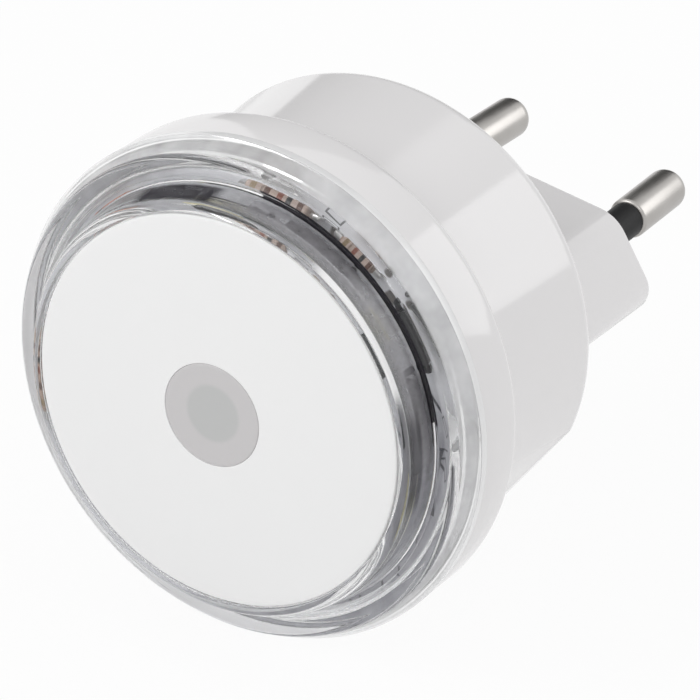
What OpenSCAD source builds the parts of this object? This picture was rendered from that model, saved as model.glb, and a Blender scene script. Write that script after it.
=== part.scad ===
// Plug-in night light with a dusk sensor, for a round two-pin wall socket.
// Origin: middle of the plug face, between the pins. +Y goes into the wall, +Z is up.
// Depths are counted backwards from the face plane, where the face disc's edge lies.

/* [Housing] */
// Distance from the face plane back to the plug face
body_depth = 47.5; // [45:0.5:56]
// Length of the flange band
flange_len = 4.6; // [4:0.2:7]
// Wall of the flange around the cap's skirt
flange_wall = 1.1; // [1:0.1:1.4]
// Width of the ledge that the board lies on
ledge_w = 1.8; // [1:0.1:2.4]
// Length of the curved flare from the band to the waist
flare_len = 4.5; // [4:0.5:7]
// Distance of the barrel's waist inside the flange band
waist_inset = 3.5; // [3:0.1:4]
// Distance of the barrel's rear edge inside the flange band
barrel_inset = 2.4; // [1.6:0.1:3]
// Length of the barrel from its waist to its rear wall
barrel_len = 14.2; // [12.8:0.2:15.4]
// Rounding of the barrel's rear edge
barrel_edge_r = 2; // [1:0.5:3]
// Depth of the two grip flats low on the barrel's sides, at its rear edge
grip_cut = 1; // [0.4:0.1:1.2]
// Angle that the grip flats face below the line of the pins
grip_angle = 28; // [20:1:34]
// Lean of the grip flats towards the axis
grip_lean = 3.5; // [2:0.5:5]
// Wall thickness of the barrel and the plug boss
wall = 1.8; // [1.4:0.1:2]

/* [Plug boss] */
// Width of the boss across its two tips
boss_w = 35.3; // [34.6:0.1:36]
// Height of the boss
boss_h = 13; // [13:0.1:14.4]
// Width of the flat top between its rounded corners
boss_flat = 21.9; // [20:0.1:23]
// Rounding of the boss's four corners
boss_corner_r = 4; // [3:0.5:5]
// Rounding of the boss's two tips
boss_tip_r = 2.5; // [2.2:0.1:3.5]
// Thickness of the end wall that holds the pins
end_wall = 3; // [2.5:0.5:4]

/* [Pins] */
// Distance between the pin axes at the plug face
pin_pitch = 18.9; // [18:0.1:19.2]
// Angle by which each pin leans towards the other
pin_lean = 1.66; // [0:0.02:2]
// Length of a pin from the plug face to its tip
pin_len = 19; // [18.5:0.1:19.5]
// Radius of the bare metal end
pin_r = 2; // [1.9:0.01:2.1]
// Rounding of the pin tip
pin_tip_r = 1.3; // [0.5:0.1:1.6]
// Rounding of the bare end's near edge
pin_shoulder_r = 0.3; // [0.1:0.05:0.4]
// Radius of the thin core inside the insulating sleeve
core_r = 1.3; // [1.1:0.1:1.4]
// Length of the insulating sleeve in front of the plug face
sleeve_len = 10; // [9:0.5:11]
// Outer radius of the insulating sleeve
sleeve_r = 1.75; // [1.6:0.05:1.9]
// Width of the seam along the rolled pin
seam_w = 0.16; // [0.1:0.02:0.3]
// Depth of the seam along the rolled pin
seam_depth = 0.25; // [0.1:0.05:0.4]
// Direction of the seam, from +X towards +Z
seam_angle = 42; // [0:2:360]
// Radius of the collar that stops the pin behind the end wall
collar_r = 2.9; // [2.6:0.1:3.1]
// Thickness of the collar
collar_len = 1; // [0.8:0.1:1.5]
// Radius of the solder tail
tail_r = 1.1; // [0.8:0.1:1.2]
// Length of the solder tail behind the collar
tail_len = 5.5; // [5:0.5:7]

/* [Pin clamp] */
// Thickness of the clamp plate
clamp_t = 2; // [1.5:0.1:3]
// Radius of the screw pillar on the end wall
pillar_r = 2.6; // [2.2:0.1:3.5]
// Radius of the screw shank
screw_r = 1.1; // [0.9:0.1:1.4]
// Radius of the screw head
screw_head_r = 2.2; // [1.8:0.1:2.8]
// Height of the screw head
screw_head_h = 1.4; // [1:0.1:1.8]
// Length of the screw shank
screw_len = 5; // [4:0.2:5.4]

/* [Clear cap] */
// Depth of the cap's rim seat on the flange
cap_depth = 6.3; // [6:0.1:7]
// Overhang of the cap's rim beyond the flange band
rim_overhang = 0.1; // [0:0.05:0.3]
// Width of the rim band
rim_band = 1.1; // [0.8:0.1:1.6]
// Depth of the stepped ring's face
step_depth = 3; // [2.8:0.1:3.1]
// Width of the stepped ring from the plateau's foot to its shoulder
ring_w = 2.8; // [2.6:0.1:4]
// Distance of the ring's shoulder inside the rim
shoulder_inset = 0.9; // [0.6:0.1:1.2]
// Rounding of the ring's shoulder
shoulder_edge_r = 0.8; // [0.4:0.1:1]
// Width of the plateau's lip around the face disc
plateau_lip = 1.18; // [1:0.02:1.4]
// Draft of the plateau's wall from its front edge to its foot
plateau_draft = 0.5; // [0.3:0.1:0.7]
// Rounding of the plateau's front edge
plateau_edge_r = 0.9; // [0.4:0.1:0.9]
// Depth of the groove at the plateau's foot below the ring's face
groove_depth = 0.6; // [0.3:0.1:0.7]
// Width of the groove
groove_w = 0.5; // [0.3:0.1:0.8]
// Wall thickness of the cap
cap_wall = 1.3; // [1.1:0.1:1.4]
// Thickness of the cap's skirt inside the flange
skirt_t = 1; // [0.8:0.1:1.3]

/* [Face disc and window] */
// Radius of the face disc
disc_r = 19; // [18.8:0.1:19.2]
// Thickness of the face disc at its edge
disc_t = 1.2; // [1:0.1:1.3]
// Height of the face disc's crown
disc_crown = 0.8; // [0.2:0.1:1.5]
// Radius of the sensor window
window_r = 5; // [4.5:0.1:6]
// Thickness of the window's skin over the sensor
window_skin = 0.9; // [0.8:0.1:1.2]
// Ledge of the window behind the face disc
window_ledge = 0.8; // [0.5:0.1:1]

/* [Light sensor] */
// Outer radius of the shroud around the sensor
shroud_r = 4; // [3.6:0.1:4.2]
// Wall of the shroud
shroud_wall = 0.8; // [0.6:0.1:0.9]
// Radius of the light sensor
sensor_r = 2.55; // [2.3:0.05:2.6]
// Thickness of the light sensor
sensor_t = 2; // [1.6:0.1:2.5]
// Clearance around the sensor in the window's pocket
sensor_gap = 0.2; // [0.1:0.05:0.3]

/* [Circuit board] */
// Thickness of the circuit board
board_t = 1.6; // [1:0.1:1.6]
// Clearance between the tallest outer part and the inside of the cap
head_room = 0.9; // [0.2:0.1:1.2]
// Radius of the component leads
lead_r = 0.3; // [0.25:0.05:0.4]
// Radius of the resistor bodies
resistor_r = 1.2; // [1:0.05:1.25]
// Length of the resistor bodies
resistor_len = 6.8; // [5:0.1:7]
// Radius of the small resistor's body
small_resistor_r = 0.95; // [0.8:0.05:1.2]
// Length of the small resistor's body
small_resistor_len = 3.8; // [3.4:0.1:4.4]
// Space between the outer parts and the cap's skirt
part_margin = 1.15; // [0.5:0.05:2]
// Distance from the circle of the outer parts to that of the inner diodes
circle_step = 5.05; // [4.6:0.05:5.6]
// Space between two neighbours on a circle, from lead to lead
part_space = 1.5; // [0.8:0.05:1.8]
// Space in front of the outer diode on its circle
diode_space = 2.2; // [0.4:0.1:4]
// Reach of the leads beyond a body's ends
lead_reach = 0.8; // [0.5:0.1:1]
// Angle of the series resistor on the board, from +X towards +Z
series_angle = 91.5; // [88:0.5:95]
// Angle of the bias resistor
bias_angle = 200; // [190:1:270]
// Angle between the two neighbouring inner diodes, where they meet
inner_pair_angle = 95.5; // [90:0.5:100]
// Angle of the third inner diode
inner_single_angle = 15; // [0:1:30]
// Angle of the zener diode
zener_angle = 148; // [130:1:165]
// Radius of the zener diode's body
zener_r = 0.9; // [0.7:0.05:1.2]
// Length of the zener diode's body
zener_len = 3.8; // [3:0.1:4.5]
// Radius of the diode bodies
diode_r = 1.25; // [1.1:0.05:1.3]
// Length of the diode bodies
diode_len = 5.2; // [4:0.1:5.4]
// Distance of the component bodies from the board
stand_off = 0.3; // [0.2:0.1:0.4]
// Distance from the circle of the outer parts to that of the light-emitting diodes
led_inset = 7.85; // [7.75:0.05:9.6]
// Number of light-emitting diodes
led_count = 4; // [3:1:4]
// Side of a light-emitting diode's body
led_w = 3; // [2.4:0.1:3.2]
// Height of a light-emitting diode's body
led_h = 1.4; // [0.8:0.1:2]
// Radius of a light-emitting diode's lens at its foot
led_lens_r = 1.2; // [0.8:0.1:1.2]
// Height of a light-emitting diode's lens
led_lens_h = 0.4; // [0.2:0.1:0.6]
// Distance of the transistor from the circle of the outer parts
transistor_inset = 10.85; // [10.15:0.05:11.6]
// Radius of the transistor's body
transistor_r = 2.3; // [2:0.1:2.4]
// Height of the transistor's body
transistor_h = 2.4; // [2:0.1:3]
// Length of the transistor's legs
transistor_leg = 2; // [1:0.1:2.2]

/* [Parts behind the board] */
// Width of the film capacitor
film_w = 13; // [11:0.5:14]
// Thickness of the film capacitor
film_t = 6; // [5:0.5:6.5]
// Height of the film capacitor above the board
film_h = 11; // [9:0.5:14]
// Distance between the film capacitor's leads
film_pitch = 10; // [7.5:0.5:10.5]
// Distance of the film capacitor below the middle
film_drop = 9; // [7.5:0.5:11]
// Radius of the storage capacitor
storage_r = 3.15; // [2.5:0.05:4]
// Height of the storage capacitor
storage_h = 11; // [7:0.5:14]
// Distance between the storage capacitor's leads
storage_pitch = 2.5; // [2:0.5:3.5]
// Distance of the storage capacitor to the left of the middle
storage_x = 4; // [3:0.5:6]
// Distance of the storage capacitor above the middle
storage_z = 10; // [7:0.5:12]
// Radius of the fusible resistor's body
fuse_r = 1.7; // [1.4:0.1:2]
// Length of the fusible resistor's body
fuse_len = 9; // [8:0.5:10]
// Distance of the fusible resistor to the right of the middle
fuse_x = 8.5; // [6:0.5:9]
// Distance of the fusible resistor above the middle
fuse_z = 8.5; // [6:0.5:10]
// Outer radius of the insulated wires
wire_r = 0.85; // [0.7:0.05:1]
// Distance that a wire steps down between the boss and the board
wire_drop = 3; // [0:0.5:5]
// Length of the wire's stepped stretch
wire_run = 8; // [6:0.5:10]

/* [Clearances] */
// Clearance between the cap's skirt and the flange
skirt_gap = 0.1; // [0.05:0.05:0.2]
// Clearance around the face disc, the window and the board
seat_gap = 0.12; // [0.08:0.01:0.2]
// Clearance around the pin cores, the solder tails and the screw
bore_gap = 0.05; // [0.03:0.01:0.08]
// Clearance around the leaning sleeves in the end wall
sleeve_gap = 0.12; // [0.1:0.01:0.15]
// Clearance between the clamp plate and the boss's walls
clamp_gap = 0.2; // [0.1:0.05:0.3]
// Clearance beyond the screw's end
screw_end_gap = 0.2; // [0.1:0.1:0.5]
// Clearance behind the leaning collars
collar_gap = 0.12; // [0.1:0.01:0.2]
// Air gap in front of the sensor shroud
shroud_gap = 0.3; // [0.2:0.05:0.4]

/* [Hidden] */
$fn = 96;
arc_steps = 8;
flare_steps = 10;
crown_steps = 8;
wire_steps = 8;
wire_sides = 12;
cut_over = 1;
round_fn = 48;
lead_fn = 24;
// Angles where the rounded edges of the cap run into its sloping walls
lip_arc_end = -10;
shoulder_arc_end = -25;
// Shares of a resistor body: neck radius, length of a swollen end, rounding of its edge
neck_share = 0.85;
swell_share = 0.25;
edge_share = 0.33;
// Share by which a light-emitting diode's lens narrows
lens_taper = 0.7;
// Share of the transistor's radius where its flat side lies, and the distance of its legs
flat_share = 0.65;
leg_pitch = 1.27;
// Height of the feet under the capacitors, and the groove around the storage capacitor
foot_h = 0.6;
groove_at = 1.4;
can_groove = 0.25;
// Cross slot of the screw: width, depth and share of the head
slot_w = 0.6;
slot_depth = 0.7;
slot_share = 0.7;
flange_start = cap_depth;
flange_end = flange_start + flange_len;
waist_depth = flange_end + flare_len;
barrel_end = waist_depth + barrel_len;
pocket_r = disc_r + seat_gap;
plateau_r = pocket_r + plateau_lip;
plateau_foot_r = plateau_r + plateau_draft;
shoulder_r = plateau_foot_r + ring_w;
rim_r = shoulder_r + shoulder_inset;
flange_r = rim_r - rim_overhang;
waist_r = flange_r - waist_inset;
barrel_r = flange_r - barrel_inset;
seat_r = flange_r - flange_wall;
ledge_r = seat_r - ledge_w;
barrel_bore_r = waist_r - wall;
ring_inside_depth = step_depth + cap_wall;
board_depth = ring_inside_depth + head_room + 2 * max(resistor_r, diode_r) + stand_off;
ledge_depth = board_depth + board_t;
board_r = seat_r - seat_gap;
board_front_y = board_depth - body_depth;
board_back_y = ledge_depth - body_depth;
skirt_r = seat_r - skirt_gap;
skirt_bore_r = skirt_r - skirt_t;
front_wall_depth = disc_t + cap_wall;
window_spigot_r = window_r - window_ledge;
shroud_depth = front_wall_depth + shroud_gap;
window_pocket_r = sensor_r + sensor_gap;
window_pocket_depth = window_skin - disc_crown;
sensor_depth = window_pocket_depth + sensor_gap;
outer_circle_r = skirt_bore_r - part_margin - resistor_r;
inner_circle_r = outer_circle_r - circle_step;
led_circle_r = outer_circle_r - led_inset;
transistor_circle_r = outer_circle_r - transistor_inset;
bleed_angle = series_angle - span(resistor_len, outer_circle_r)
  - span(small_resistor_len, outer_circle_r) - atan(part_space / outer_circle_r);
outer_diode_angle = bleed_angle - span(small_resistor_len, outer_circle_r)
  - span(diode_len, outer_circle_r) - atan(diode_space / outer_circle_r);
inner_diode_turn = span(diode_len, inner_circle_r) + atan(part_space / inner_circle_r) / 2;
collar_start = end_wall + collar_gap;
tail_start = collar_start + collar_len;
clamp_front = tail_start + collar_gap;
clamp_back = clamp_front + clamp_t;
tail_end = tail_start + tail_len;

// Half the angle that an axial part of this body length takes up on a circle of radius r
function span(length, r) = atan((length / 2 + lead_reach + lead_r) / r);

// Points of an arc, from angle a0 to angle a1
function arc(c, r, a0, a1, n = arc_steps) =
  [for (i = [0:n]) c + r * [cos(a0 + (a1 - a0) * i / n), sin(a0 + (a1 - a0) * i / n)]];

// Radius of the smooth flare at the share t of its length
function flare_r(t) = waist_r + (flange_r - waist_r) * (1 + cos(180 * t)) / 2;

// Height of the face's crown at radius r
function crown(r) = disc_crown * (1 - pow(r / disc_r, 2));

// Outline of the plug boss, drawn in by inset: flat top and bottom, slanted ends, rounded tips
function boss_outline(inset = 0) =
  let (
    corner = [boss_flat / 2, boss_h / 2 - boss_corner_r],
    tip = [boss_w / 2 - boss_tip_r, 0],
    across = tip - corner,
    slant = atan2(across[1], across[0]) + acos((boss_corner_r - boss_tip_r) / norm(across)),
    quarter = concat(
      arc(corner, boss_corner_r - inset, 90, slant),
      arc(tip, boss_tip_r - inset, slant, 0, arc_steps / 2)
    ),
    n = len(quarter)
  )
  concat(
    quarter,
    [for (i = [n - 2:-1:0]) [quarter[i][0], -quarter[i][1]]],
    [for (p = quarter) [-p[0], -p[1]]],
    [for (i = [n - 2:-1:1]) [-quarter[i][0], quarter[i][1]]],
    [[-quarter[0][0], quarter[0][1]]]
  );

// A profile of [radius, depth] points, turned about the axis of the light
module turned(profile) {
  translate([0, -body_depth, 0])
    rotate([-90, 0, 0])
      rotate_extrude()
        polygon(profile);
}

// A round bar along the axis of the light, between two depths
module bar(r, from, to) {
  translate([0, from - body_depth, 0])
    rotate([-90, 0, 0])
      cylinder(r = r, h = to - from);
}

// The boss outline, extruded between two depths
module boss_block(inset, from, to) {
  translate([0, to - body_depth, 0])
    rotate([90, 0, 0])
      linear_extrude(height = to - from)
        polygon(boss_outline(inset));
}

// The leaning frame of one pin: children are drawn along +Z, with 0 at the plug face
module pin_frame(side) {
  translate([side * pin_pitch / 2, 0, 0])
    rotate([0, 0, side * pin_lean])
      rotate([-90, 0, 0])
        children();
}

// A place on the board's circle of radius r: children see +X outwards and +Z along the circle
module on_circle(r, angle, y) {
  rotate([0, -angle, 0])
    translate([r, y, 0])
      children();
}

// An axial part that lies along Z at the origin, with two legs that stand on the board
module axial_leads(body_len, height, side) {
  for (end = [-1, 1]) {
    translate([0, 0, end * body_len / 2])
      rotate([end > 0 ? 0 : 180, 0, 0])
        cylinder(r = lead_r, h = lead_reach, $fn = lead_fn);
    translate([0, 0, end * (body_len / 2 + lead_reach)])
      sphere(r = lead_r, $fn = lead_fn);
    translate([0, 0, end * (body_len / 2 + lead_reach)])
      rotate([side * -90, 0, 0])
        cylinder(r = lead_r, h = height, $fn = lead_fn);
  }
}

// A resistor body with swollen ends
module resistor_body(r, length) {
  neck = neck_share * r;
  end_len = swell_share * length;
  round_r = edge_share * r;
  half = concat(
    [[0, length / 2]],
    arc([r - round_r, length / 2 - round_r], round_r, 90, 0, 3),
    [[r, length / 2 - end_len], [neck, length / 2 - end_len - r + neck]]
  );
  mirrored = [for (i = [len(half) - 1:-1:0]) [half[i][0], -half[i][1]]];
  rotate_extrude($fn = round_fn)
    polygon(concat(half, mirrored));
}

// A resistor on the front of the board
module front_resistor(angle, body_r, length) {
  height = body_r + stand_off;
  on_circle(outer_circle_r, angle, board_front_y - height) {
    resistor_body(body_r, length);
    axial_leads(length, height, 1);
  }
}

// A diode with a plain round body
module front_diode(r, angle, body_r, length) {
  height = body_r + stand_off;
  on_circle(r, angle, board_front_y - height) {
    cylinder(r = body_r, h = length, center = true, $fn = round_fn);
    axial_leads(length, height, 1);
  }
}

module grip_flats() {
  for (side = [0, 1])
    mirror([side, 0, 0])
      translate([0, barrel_end - body_depth, 0])
        rotate([0, grip_angle, 0])
          translate([barrel_r - grip_cut, 0, 0])
            rotate([0, 0, grip_lean])
              translate([0, -barrel_len, -barrel_r])
                cube([2 * barrel_edge_r, barrel_len + cut_over, 2 * barrel_r]);
}

module rear_housing() {
  outside = concat(
    [[0, flange_start], [flange_r, flange_start]],
    [for (i = [0:flare_steps]) [flare_r(i / flare_steps), flange_end + flare_len * i / flare_steps]],
    arc([barrel_r - barrel_edge_r, barrel_end - barrel_edge_r], barrel_edge_r, 0, 90),
    [[0, barrel_end]]
  );
  inside = concat(
    [[0, flange_start - cut_over], [seat_r, flange_start - cut_over]],
    [[seat_r, ledge_depth], [ledge_r, ledge_depth]],
    [for (i = [0:flare_steps])
      [min(ledge_r, flare_r(i / flare_steps) - wall), flange_end + flare_len * i / flare_steps]],
    [[barrel_bore_r, barrel_end - wall], [0, barrel_end - wall]]
  );
  pillar_start = body_depth - clamp_front;
  bore_end = body_depth - clamp_back + screw_len + screw_end_gap;
  color("whitesmoke")
    difference() {
      union() {
        turned(outside);
        boss_block(0, barrel_end - wall, body_depth);
      }
      turned(inside);
      grip_flats();
      difference() {
        boss_block(wall, barrel_end - wall - cut_over, body_depth - end_wall);
        bar(pillar_r, pillar_start, body_depth);
      }
      bar(screw_r + bore_gap, pillar_start - cut_over, bore_end);
      for (side = [-1, 1])
        pin_frame(side)
          translate([0, 0, -end_wall - cut_over])
            cylinder(r = sleeve_r + sleeve_gap, h = end_wall + 2 * cut_over);
    }
}

module lens_cover() {
  face_lip_r = plateau_r - plateau_edge_r;
  shoulder_c = [shoulder_r - shoulder_edge_r, step_depth + shoulder_edge_r];
  outside = concat(
    [[window_spigot_r + seat_gap, disc_t], [pocket_r, disc_t], [pocket_r, 0]],
    arc([face_lip_r, plateau_edge_r], plateau_edge_r, -90, lip_arc_end),
    [[plateau_foot_r, step_depth + groove_depth]],
    [[plateau_foot_r + groove_w, step_depth]],
    arc(shoulder_c, shoulder_edge_r, -90, shoulder_arc_end),
    [[rim_r, cap_depth - rim_band], [rim_r, cap_depth]]
  );
  inside = [
    [skirt_r, cap_depth],
    [skirt_r, board_depth],
    [skirt_bore_r, board_depth],
    [skirt_bore_r, ring_inside_depth],
    [plateau_foot_r - cap_wall, ring_inside_depth],
    [plateau_r - cap_wall, front_wall_depth],
    [window_spigot_r + seat_gap, front_wall_depth]
  ];
  color("lightcyan", 0.35)
    turned(concat(outside, inside));
}

module face_disc() {
  hole_r = window_r + seat_gap;
  front = [for (i = [0:crown_steps])
    let (r = disc_r + (hole_r - disc_r) * i / crown_steps) [r, -crown(r)]];
  color("white")
    turned(concat([[hole_r, disc_t], [disc_r, disc_t]], front));
}

module sensor_window() {
  front = [for (i = [0:crown_steps / 2])
    let (r = window_r * (1 - 2 * i / crown_steps)) [r, -crown(r)]];
  color("lightgray", 0.8)
    turned(concat(
      [[0, window_pocket_depth], [window_pocket_r, window_pocket_depth]],
      [[window_pocket_r, front_wall_depth], [window_spigot_r, front_wall_depth]],
      [[window_spigot_r, disc_t], [window_r, disc_t]],
      front
    ));
}

module sensor_shroud() {
  color("gainsboro")
    difference() {
      bar(shroud_r, shroud_depth, board_depth);
      bar(shroud_r - shroud_wall, shroud_depth - cut_over, board_depth + cut_over);
    }
}

module light_sensor() {
  color("rosybrown") {
    bar(sensor_r, sensor_depth, sensor_depth + sensor_t);
    for (side = [-1, 1])
      translate([side * sensor_r / 2, 0, 0])
        bar(lead_r, sensor_depth + sensor_t, board_depth);
  }
}

module circuit_board() {
  color("ghostwhite")
    bar(board_r, board_depth, ledge_depth);
}

module leds() {
  half_step = 180 / led_count;
  color("lemonchiffon")
    for (i = [0:led_count - 1])
      on_circle(led_circle_r, half_step * (2 * i + 1), board_front_y) {
        translate([0, -led_h / 2, 0])
          cube([led_w, led_h, led_w], center = true);
        translate([0, -led_h, 0])
          rotate([90, 0, 0])
            cylinder(r1 = led_lens_r, r2 = led_lens_r * lens_taper, h = led_lens_h, $fn = round_fn);
      }
}

module series_resistor() {
  color("tan")
    front_resistor(series_angle, resistor_r, resistor_len);
}

module bleed_resistor() {
  color("rosybrown")
    front_resistor(bleed_angle, small_resistor_r, small_resistor_len);
}

module bias_resistor() {
  color("tan")
    front_resistor(bias_angle, resistor_r, resistor_len);
}

module rectifier_diodes() {
  color("dimgray") {
    front_diode(outer_circle_r, outer_diode_angle, diode_r, diode_len);
    front_diode(inner_circle_r, inner_single_angle, diode_r, diode_len);
    for (side = [-1, 1])
      front_diode(inner_circle_r, inner_pair_angle + side * inner_diode_turn, diode_r, diode_len);
  }
}

module zener_diode() {
  color("orangered")
    front_diode(outer_circle_r, zener_angle, zener_r, zener_len);
}

module switching_transistor() {
  flat_x = -flat_share * transistor_r;
  color("dimgray")
    on_circle(transistor_circle_r, 180, board_front_y) {
      translate([0, -transistor_leg, 0])
        rotate([90, 0, 0])
          intersection() {
            cylinder(r = transistor_r, h = transistor_h, $fn = round_fn);
            translate([flat_x, -transistor_r, -cut_over])
              cube([2 * transistor_r, 2 * transistor_r, transistor_h + 2 * cut_over]);
          }
      for (side = [-1, 0, 1])
        translate([0, 0, side * leg_pitch])
          rotate([90, 0, 0])
            cylinder(r = lead_r, h = transistor_leg, $fn = lead_fn);
    }
}

module film_capacitor() {
  color("goldenrod")
    translate([0, board_back_y, -film_drop]) {
      translate([-film_w / 2, foot_h, -film_t / 2])
        cube([film_w, film_h, film_t]);
      for (side = [-1, 1])
        translate([side * film_pitch / 2, 0, 0])
          rotate([-90, 0, 0])
            cylinder(r = lead_r, h = foot_h, $fn = lead_fn);
    }
}

module storage_capacitor() {
  neck_r = storage_r - can_groove;
  groove = foot_h + groove_at;
  top = foot_h + storage_h;
  body = [
    [0, foot_h], [neck_r, foot_h], [storage_r, foot_h + can_groove], [storage_r, groove],
    [neck_r, groove + can_groove], [storage_r, groove + 2 * can_groove],
    [storage_r, top - can_groove], [neck_r, top], [0, top]
  ];
  color("midnightblue")
    translate([-storage_x, board_back_y, storage_z])
      rotate([-90, 0, 0]) {
        rotate_extrude($fn = round_fn)
          polygon(body);
        for (side = [-1, 1])
          translate([side * storage_pitch / 2, 0, 0])
            cylinder(r = lead_r, h = foot_h, $fn = lead_fn);
      }
}

module fusible_resistor() {
  height = fuse_r + stand_off;
  color("steelblue")
    translate([fuse_x, board_back_y + height, fuse_z])
      rotate([0, 90, 0]) {
        resistor_body(fuse_r, fuse_len);
        axial_leads(fuse_len, height, -1);
      }
}

module pin(side) {
  tip_c = [pin_r - pin_tip_r, pin_len - pin_tip_r];
  shoulder_c = [pin_r - pin_shoulder_r, sleeve_len + pin_shoulder_r];
  profile = concat(
    [[0, -tail_end], [tail_r, -tail_end], [tail_r, -tail_start]],
    [[collar_r, -tail_start], [collar_r, -collar_start], [core_r, -collar_start]],
    [[core_r, sleeve_len]],
    arc(shoulder_c, pin_shoulder_r, -90, 0, arc_steps / 2),
    arc(tip_c, pin_tip_r, 0, 90),
    [[0, pin_len]]
  );
  color("silver")
    pin_frame(side)
      difference() {
        rotate_extrude()
          polygon(profile);
        rotate([0, 0, 90 - seam_angle])
          translate([-seam_w / 2, -pin_r - cut_over, sleeve_len - cut_over])
            cube([seam_w, cut_over + seam_depth, pin_len - sleeve_len - pin_tip_r + cut_over]);
      }
}

module sleeve(side) {
  color("black")
    pin_frame(side)
      difference() {
        translate([0, 0, -end_wall])
          cylinder(r = sleeve_r, h = end_wall + sleeve_len);
        translate([0, 0, -end_wall - cut_over])
          cylinder(r = core_r + bore_gap, h = end_wall + sleeve_len + 2 * cut_over);
      }
}

module pin_left() {
  pin(-1);
}

module pin_right() {
  pin(1);
}

module sleeve_left() {
  sleeve(-1);
}

module sleeve_right() {
  sleeve(1);
}

module pin_clamp() {
  color("lightgray")
    difference() {
      boss_block(wall + clamp_gap, body_depth - clamp_back, body_depth - clamp_front);
      for (side = [-1, 1])
        pin_frame(side)
          translate([0, 0, -clamp_back - cut_over])
            cylinder(r = tail_r + bore_gap, h = clamp_t + 2 * cut_over);
      bar(screw_r + bore_gap, body_depth - clamp_back - cut_over, body_depth);
    }
}

module clamp_screw() {
  head_end = body_depth - clamp_back;
  head_start = head_end - screw_head_h;
  slot_len = 2 * slot_share * screw_head_r;
  color("darkgray")
    difference() {
      union() {
        bar(screw_head_r, head_start, head_end);
        bar(screw_r, head_end, head_end + screw_len);
      }
      for (turn = [0, 90])
        rotate([0, turn, 0])
          translate([-slot_w / 2, head_start - cut_over - body_depth, -slot_len / 2])
            cube([slot_w, slot_depth + cut_over, slot_len]);
    }
}

// Downward step of a wire at y: a smooth bend between the boss and the board
function wire_z(y, from) =
  let (t = min(1, max(0, (from - y) / wire_run)))
  -wire_drop * (1 - cos(180 * t)) / 2;

// An insulated wire from a solder tail to the back of the board
module wire(side) {
  start_x = side * (pin_pitch / 2 + tail_end * sin(pin_lean));
  start_y = -tail_end * cos(pin_lean) - wire_r * sin(pin_lean);
  bend_y = barrel_end - wall - body_depth;
  bend = [for (i = [0:wire_steps]) bend_y - wire_run * i / wire_steps];
  route = concat([start_y], bend, [board_back_y]);
  rings = len(route);
  points = [for (i = [0:rings - 1])
    let (
      before = route[max(0, i - 1)],
      after = route[min(rings - 1, i + 1)],
      straight = i < 2 || i > rings - 3,
      rise = wire_z(after, bend_y) - wire_z(before, bend_y),
      tilt = straight ? 0 : atan2(rise, before - after)
    )
    for (k = [0:wire_sides - 1])
      let (a = 360 * k / wire_sides)
      [
        start_x + wire_r * cos(a),
        route[i] + wire_r * sin(a) * sin(tilt),
        wire_z(route[i], bend_y) + wire_r * sin(a) * cos(tilt)
      ]
  ];
  sides = [for (i = [0:rings - 2])
    for (k = [0:wire_sides - 1])
      let (n = (k + 1) % wire_sides, near = i * wire_sides, far = near + wire_sides)
      for (face = [[near + k, far + k, near + n], [near + n, far + k, far + n]]) face
  ];
  ends = [
    [for (k = [0:wire_sides - 1]) k],
    [for (k = [wire_sides - 1:-1:0]) (rings - 1) * wire_sides + k]
  ];
  color(side > 0 ? "saddlebrown" : "royalblue")
    polyhedron(points, concat(sides, ends));
}

module wire_left() {
  wire(-1);
}

module wire_right() {
  wire(1);
}

rear_housing();
lens_cover();
face_disc();
sensor_window();
sensor_shroud();
light_sensor();
circuit_board();
leds();
series_resistor();
bleed_resistor();
bias_resistor();
rectifier_diodes();
zener_diode();
switching_transistor();
film_capacitor();
storage_capacitor();
fusible_resistor();
pin_left();
pin_right();
sleeve_left();
sleeve_right();
pin_clamp();
clamp_screw();
wire_left();
wire_right();
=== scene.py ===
# %% [markdown]
# # A plug-in night light
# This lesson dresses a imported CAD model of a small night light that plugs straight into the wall.
# The CAD solids are the frame: they give every size and place, and they are never moved.
# The outside is modelled again here with rounder edges, because gloss and clear plastic show every edge.

import bpy
import math
from mathutils import Matrix, Vector


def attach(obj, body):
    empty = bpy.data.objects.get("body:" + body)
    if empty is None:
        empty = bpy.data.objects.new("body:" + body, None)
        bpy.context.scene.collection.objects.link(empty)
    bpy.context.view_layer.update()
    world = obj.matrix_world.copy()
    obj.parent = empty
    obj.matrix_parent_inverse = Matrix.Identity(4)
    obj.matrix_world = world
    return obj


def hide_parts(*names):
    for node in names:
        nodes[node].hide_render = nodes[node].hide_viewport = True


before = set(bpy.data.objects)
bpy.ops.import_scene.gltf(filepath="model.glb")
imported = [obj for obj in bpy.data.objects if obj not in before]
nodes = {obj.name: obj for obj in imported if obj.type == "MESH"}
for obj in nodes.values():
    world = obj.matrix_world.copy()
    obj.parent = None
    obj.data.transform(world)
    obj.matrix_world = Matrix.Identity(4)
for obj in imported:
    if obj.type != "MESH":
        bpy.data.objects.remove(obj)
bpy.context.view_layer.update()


# %% [markdown]
# ## Sizes
# The sizes are those of the CAD source, in millimetres. Depths are counted back from the face plane,
# as they are there. `GAP` is a hair of air that the clear cap keeps from the pieces that it touches in
# the CAD: clear plastic that shares a face with another solid renders black there.

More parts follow.
